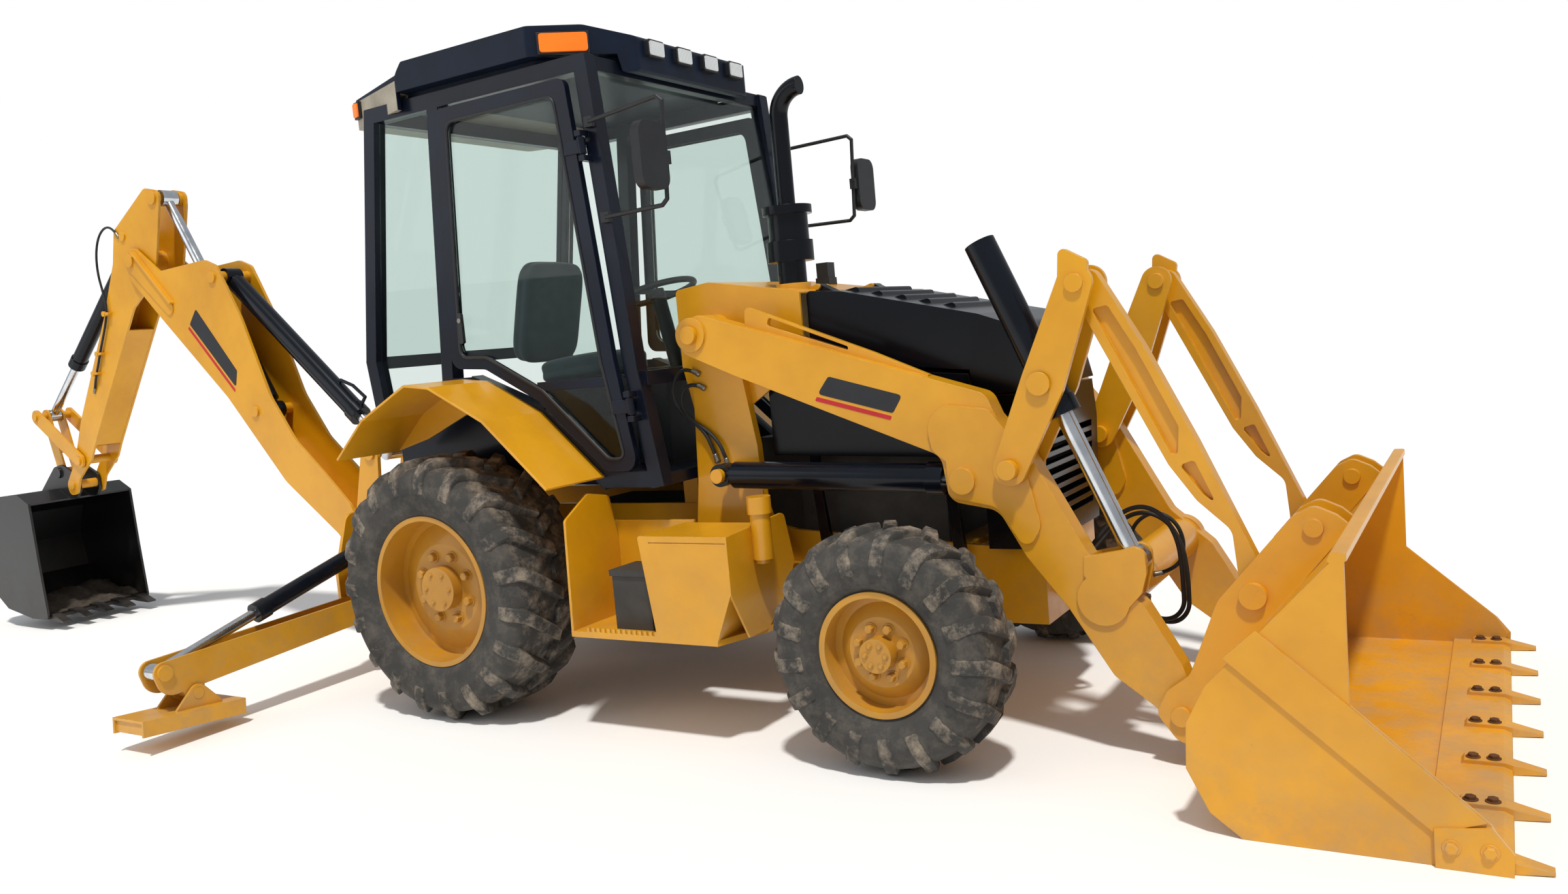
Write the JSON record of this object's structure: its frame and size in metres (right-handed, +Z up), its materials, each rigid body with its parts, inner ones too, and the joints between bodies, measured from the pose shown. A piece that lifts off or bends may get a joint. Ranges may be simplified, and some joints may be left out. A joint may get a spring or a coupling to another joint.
{
  "type": "backhoe loader",
  "caption": "Wheeled backhoe loader: front bucket on lift arms, enclosed cab, and a swinging boom, stick and digging bucket with two stabilizers behind.",
  "frame": {"origin": "middle of the length and width, on the floor under the wheels", "axes": "+X forward, +Y to the machine's left, +Z up"},
  "size_m": [9.72, 3.6916, 2.99],
  "materials": {
    "black_paint": "satin",
    "black_plastic": "matt",
    "cab_glass": "clear",
    "chrome_rod": "polished",
    "dark_bucket_paint": "worn satin",
    "engine_iron": "cast",
    "seat_fabric": "matt",
    "tyre_rubber": "matt",
    "yellow_paint": "gloss"
  },
  "bodies": {
    "chassis": {"main_frame": "yellow_paint", "axles": "yellow_paint", "engine_battery": "engine_iron", "tie_lugs": "yellow_paint", "cowl": "yellow_paint", "engine_panels": "black_paint", "exhaust": "black_paint", "cab_frame": "black_paint", "roof": "black_paint", "cab_glass": "cab_glass", "fenders": "yellow_paint", "side_boxes": "yellow_paint", "lamps_mirrors": "black_plastic", "seat": "seat_fabric", "controls": "black_plastic"},
    "rear_wheel_r": {"rear_tyre_r": "tyre_rubber", "rear_rim_r": "yellow_paint"},
    "rear_wheel_l": {"rear_tyre_l": "tyre_rubber", "rear_rim_l": "yellow_paint"},
    "front_wheel_r": {"front_tyre_r": "tyre_rubber", "front_rim_r": "yellow_paint"},
    "front_wheel_l": {"front_tyre_l": "tyre_rubber", "front_rim_l": "yellow_paint"},
    "knuckle_l": {"knuckle_l": "yellow_paint"},
    "knuckle_r": {"knuckle_r": "yellow_paint"},
    "door_l": {"door_l": "black_paint", "door_glass_l": "cab_glass"},
    "door_r": {"door_r": "black_paint", "door_glass_r": "cab_glass"},
    "hood": {"hood": "black_paint"},
    "arms": {"arms": "yellow_paint"},
    "loader_bucket": {"loader_bucket": "yellow_paint"},
    "tilt_levers": {"tilt_levers": "yellow_paint"},
    "tilt_links": {"tilt_links": "yellow_paint"},
    "tilt_barrel": {"tilt_barrel": "black_paint"},
    "tilt_rod": {"tilt_rod": "chrome_rod"},
    "lift_barrels": {"lift_barrels": "black_paint"},
    "lift_rods": {"lift_rods": "chrome_rod"},
    "swing_frame": {"swing_frame": "yellow_paint"},
    "boom": {"boom": "yellow_paint"},
    "boom_barrel": {"boom_barrel": "black_paint"},
    "boom_rod": {"boom_rod": "chrome_rod"},
    "stick": {"stick": "yellow_paint"},
    "stick_barrel": {"stick_barrel": "black_paint"},
    "stick_rod": {"stick_rod": "chrome_rod"},
    "dig_bucket": {"dig_bucket": "dark_bucket_paint"},
    "guide_links": {"guide_links": "yellow_paint"},
    "power_link": {"power_link": "yellow_paint"},
    "dig_barrel": {"dig_barrel": "black_paint"},
    "dig_rod": {"dig_rod": "chrome_rod"},
    "stab_leg_l": {"stab_leg_l": "yellow_paint"},
    "stab_leg_r": {"stab_leg_r": "yellow_paint"},
    "stab_pad_l": {"stab_pad_l": "yellow_paint"},
    "stab_pad_r": {"stab_pad_r": "yellow_paint"},
    "stab_barrel_l": {"stab_barrel_l": "black_paint"},
    "stab_barrel_r": {"stab_barrel_r": "black_paint"},
    "stab_rod_l": {"stab_rod_l": "chrome_rod"},
    "stab_rod_r": {"stab_rod_r": "chrome_rod"}
  },
  "joints": [
    {"name": "rear_wheel_r_spin", "type": "hinge", "parent": "chassis", "child": "rear_wheel_r", "pos_m": [0.66, -0.85, 0.6], "axis": [0, 1, 0], "continuous": true},
    {"name": "rear_wheel_l_spin", "type": "hinge", "parent": "chassis", "child": "rear_wheel_l", "pos_m": [0.66, 0.85, 0.6], "axis": [0, 1, 0], "continuous": true},
    {"name": "steer_l", "type": "hinge", "parent": "chassis", "child": "knuckle_l", "pos_m": [2.88, 0.745, 0.45], "axis": [0, 0, 1], "range_deg": [-40, 40]},
    {"name": "steer_r", "type": "hinge", "parent": "chassis", "child": "knuckle_r", "pos_m": [2.88, -0.745, 0.45], "axis": [0, 0, 1], "range_deg": [-40.5, 40.5]},
    {"name": "front_wheel_r_spin", "type": "hinge", "parent": "knuckle_r", "child": "front_wheel_r", "pos_m": [2.88, -0.93, 0.45], "axis": [0, 1, 0], "continuous": true},
    {"name": "front_wheel_l_spin", "type": "hinge", "parent": "knuckle_l", "child": "front_wheel_l", "pos_m": [2.88, 0.93, 0.45], "axis": [0, 1, 0], "continuous": true},
    {"name": "door_l_swing", "type": "hinge", "parent": "chassis", "child": "door_l", "pos_m": [1.7, 0.76, 1.1], "axis": [0.1088, 0, -0.9941], "range_deg": [0, 75]},
    {"name": "door_r_swing", "type": "hinge", "parent": "chassis", "child": "door_r", "pos_m": [1.7, -0.76, 1.1], "axis": [-0.1088, 0, 0.9941], "range_deg": [0, 75]},
    {"name": "hood_lift", "type": "hinge", "parent": "chassis", "child": "hood", "pos_m": [2.349, 0, 1.784], "axis": [0, -1, 0], "range_deg": [0, 50]},
    {"name": "lift", "type": "hinge", "parent": "chassis", "child": "arms", "pos_m": [1.906, 0, 1.631], "axis": [0, -1, 0], "range_deg": [0, 83]},
    {"name": "bucket_tilt", "type": "hinge", "parent": "arms", "child": "loader_bucket", "pos_m": [3.815, 0, 0.185], "axis": [0, -1, 0], "range_deg": [-120, 40]},
    {"name": "lever_turn", "type": "hinge", "parent": "arms", "child": "tilt_levers", "pos_m": [3.269, 0, 1.046], "axis": [0, -1, 0], "range_deg": [-94.29, 31.76]},
    {"name": "link_turn", "type": "hinge", "parent": "tilt_levers", "child": "tilt_links", "pos_m": [3.548, 0, 1.681], "axis": [0, -1, 0], "range_deg": [-28.15, 83.44]},
    {"name": "tilt_barrel_turn", "type": "hinge", "parent": "tilt_levers", "child": "tilt_barrel", "pos_m": [3.402, 0, 1.346], "axis": [0, -1, 0], "range_deg": [-26.48, 78.42]},
    {"name": "tilt_rod_slide", "type": "slide", "parent": "tilt_barrel", "child": "tilt_rod", "axis": [0.3901, 0, -0.9208], "range_m": [-0.4631, 0.1557]},
    {"name": "lift_barrel_turn", "type": "hinge", "parent": "chassis", "child": "lift_barrels", "pos_m": [1.977, 0, 1.037], "axis": [0, -1, 0], "range_deg": [-0.5, 71.85]},
    {"name": "lift_rod_slide", "type": "slide", "parent": "lift_barrels", "child": "lift_rods", "axis": [0.9995, 0, -0.0319], "range_m": [-0.002, 0.76212]},
    {"name": "swing", "type": "hinge", "parent": "chassis", "child": "swing_frame", "pos_m": [-0.74, 0, 0.5], "axis": [0, 0, 1], "range_deg": [-90, 90]},
    {"name": "boom_lower", "type": "hinge", "parent": "swing_frame", "child": "boom", "pos_m": [-0.905, 0, 0.56], "axis": [0, -1, 0], "range_deg": [-15, 80]},
    {"name": "boom_barrel_turn", "type": "hinge", "parent": "boom", "child": "boom_barrel", "pos_m": [-1.997, 0, 2.278], "axis": [0, -1, 0], "range_deg": [-3.65, 1.09]},
    {"name": "boom_rod_slide", "type": "slide", "parent": "boom_barrel", "child": "boom_rod", "axis": [0.752, 0, -0.6591], "range_m": [-0.14554, 0.76757]},
    {"name": "stick_crowd", "type": "hinge", "parent": "boom", "child": "stick", "pos_m": [-2.84, 0, 2.471], "axis": [0, -1, 0], "range_deg": [-48, 40]},
    {"name": "stick_barrel_turn", "type": "hinge", "parent": "boom", "child": "stick_barrel", "pos_m": [-1.737, 0, 1.432], "axis": [0, -1, 0], "range_deg": [-4.84, 4.12]},
    {"name": "stick_rod_slide", "type": "slide", "parent": "stick_barrel", "child": "stick_rod", "axis": [-0.5043, 0, 0.8635], "range_m": [-0.34943, 0.29153]},
    {"name": "dig_curl", "type": "hinge", "parent": "stick", "child": "dig_bucket", "pos_m": [-3.98, 0, 1], "axis": [0, -1, 0], "range_deg": [-40, 110]},
    {"name": "guide_turn", "type": "hinge", "parent": "stick", "child": "guide_links", "pos_m": [-3.807, 0, 1.175], "axis": [0, -1, 0], "range_deg": [-19.37, 52.39]},
    {"name": "power_turn", "type": "hinge", "parent": "guide_links", "child": "power_link", "pos_m": [-4.298, 0, 1.505], "axis": [0, -1, 0], "range_deg": [-16.97, 6.49]},
    {"name": "dig_barrel_turn", "type": "hinge", "parent": "stick", "child": "dig_barrel", "pos_m": [-2.944, 0, 2.643], "axis": [0, -1, 0], "range_deg": [-3.34, 8.3]},
    {"name": "dig_rod_slide", "type": "slide", "parent": "dig_barrel", "child": "dig_rod", "axis": [-0.7655, 0, -0.6434], "range_m": [-0.16537, 0.45126]},
    {"name": "stab_l_raise", "type": "hinge", "parent": "chassis", "child": "stab_leg_l", "pos_m": [-0.47, 0.38, 0.37], "axis": [1, 0, 0], "range_deg": [0, 75]},
    {"name": "stab_pad_l_turn", "type": "hinge", "parent": "stab_leg_l", "child": "stab_pad_l", "pos_m": [-0.47, 1.545, 0.205], "axis": [1, 0, 0], "range_deg": [-31.25, 0.5]},
    {"name": "stab_barrel_l_turn", "type": "hinge", "parent": "chassis", "child": "stab_barrel_l", "pos_m": [-0.47, 0.34, 0.705], "axis": [1, 0, 0], "range_deg": [-0.5, 78.81]},
    {"name": "stab_rod_l_slide", "type": "slide", "parent": "stab_barrel_l", "child": "stab_rod_l", "axis": [0, 0.9639, -0.2662], "range_m": [-0.40338, 0.002]},
    {"name": "stab_r_raise", "type": "hinge", "parent": "chassis", "child": "stab_leg_r", "pos_m": [-0.47, -0.38, 0.37], "axis": [-1, 0, 0], "range_deg": [0, 75]},
    {"name": "stab_pad_r_turn", "type": "hinge", "parent": "stab_leg_r", "child": "stab_pad_r", "pos_m": [-0.47, -1.545, 0.205], "axis": [-1, 0, 0], "range_deg": [-31.25, 0.5]},
    {"name": "stab_barrel_r_turn", "type": "hinge", "parent": "chassis", "child": "stab_barrel_r", "pos_m": [-0.47, -0.34, 0.705], "axis": [-1, 0, 0], "range_deg": [-0.5, 78.81]},
    {"name": "stab_rod_r_slide", "type": "slide", "parent": "stab_barrel_r", "child": "stab_rod_r", "axis": [0, -0.9639, -0.2662], "range_m": [-0.40338, 0.002]}
  ],
  "couplings": [
    {"joint": "steer_r", "follows": "steer_l", "ratio": 1},
    {"joint": "lever_turn", "follows": "bucket_tilt", "ratio": 0.78155},
    {"joint": "link_turn", "follows": "bucket_tilt", "ratio": -0.6912},
    {"joint": "tilt_barrel_turn", "follows": "bucket_tilt", "ratio": -0.64938},
    {"joint": "tilt_rod_slide", "follows": "bucket_tilt", "m_per_rad": 0.22016},
    {"joint": "lift_barrel_turn", "follows": "lift", "ratio": 0.85968},
    {"joint": "lift_rod_slide", "follows": "lift", "m_per_rad": 0.52472},
    {"joint": "boom_barrel_turn", "follows": "boom_lower", "ratio": -0.039317},
    {"joint": "boom_rod_slide", "follows": "boom_lower", "m_per_rad": 0.5483},
    {"joint": "stick_barrel_turn", "follows": "stick_crowd", "ratio": 0.090522},
    {"joint": "stick_rod_slide", "follows": "stick_crowd", "m_per_rad": 0.41472},
    {"joint": "guide_turn", "follows": "dig_curl", "ratio": 0.47174},
    {"joint": "power_turn", "follows": "dig_curl", "ratio": -0.14969},
    {"joint": "dig_barrel_turn", "follows": "dig_curl", "ratio": 0.070906},
    {"joint": "dig_rod_slide", "follows": "dig_curl", "m_per_rad": 0.23401},
    {"joint": "stab_pad_l_turn", "follows": "stab_l_raise", "ratio": -0.41},
    {"joint": "stab_barrel_l_turn", "follows": "stab_l_raise", "ratio": 1.0441},
    {"joint": "stab_rod_l_slide", "follows": "stab_l_raise", "m_per_rad": -0.30663},
    {"joint": "stab_pad_r_turn", "follows": "stab_r_raise", "ratio": -0.41},
    {"joint": "stab_barrel_r_turn", "follows": "stab_r_raise", "ratio": 1.0441},
    {"joint": "stab_rod_r_slide", "follows": "stab_r_raise", "m_per_rad": -0.30663}
  ]
}
